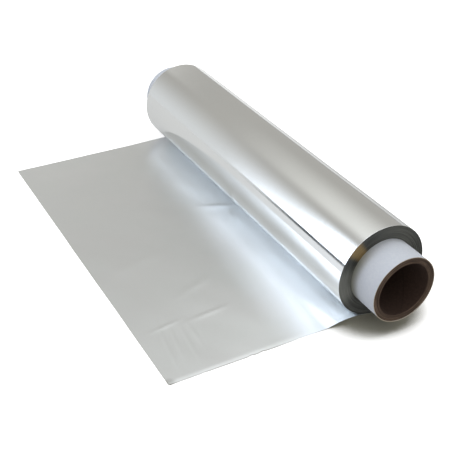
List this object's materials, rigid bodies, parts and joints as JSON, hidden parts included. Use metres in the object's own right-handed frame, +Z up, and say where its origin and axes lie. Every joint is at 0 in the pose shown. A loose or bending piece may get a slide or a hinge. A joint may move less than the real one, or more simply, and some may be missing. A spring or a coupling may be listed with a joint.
{
  "type": "aluminium foil roll",
  "caption": "Wide roll of aluminium foil wound on a paperboard core that stands out at both ends, with its free end drawn out flat in front.",
  "frame": {"origin": "on the surface that the roll lies on, under the middle of the whole outline", "axes": "+X along the roll's axis, +Z up, foil drawn out towards -Y"},
  "size_m": [0.344, 0.19, 0.068],
  "materials": {
    "core_board": "brown board of many plies, matt, darker inside the bore",
    "white_paper": "smooth white paper with a faint spiral butt seam",
    "foil": "household foil: mirror bright outside the roll, satin on the face that shows where it is drawn out"
  },
  "bodies": {
    "root": {"core_tube": "core_board", "core_outer_ply": "white_paper", "foil": "foil"}
  },
  "joints": []
}
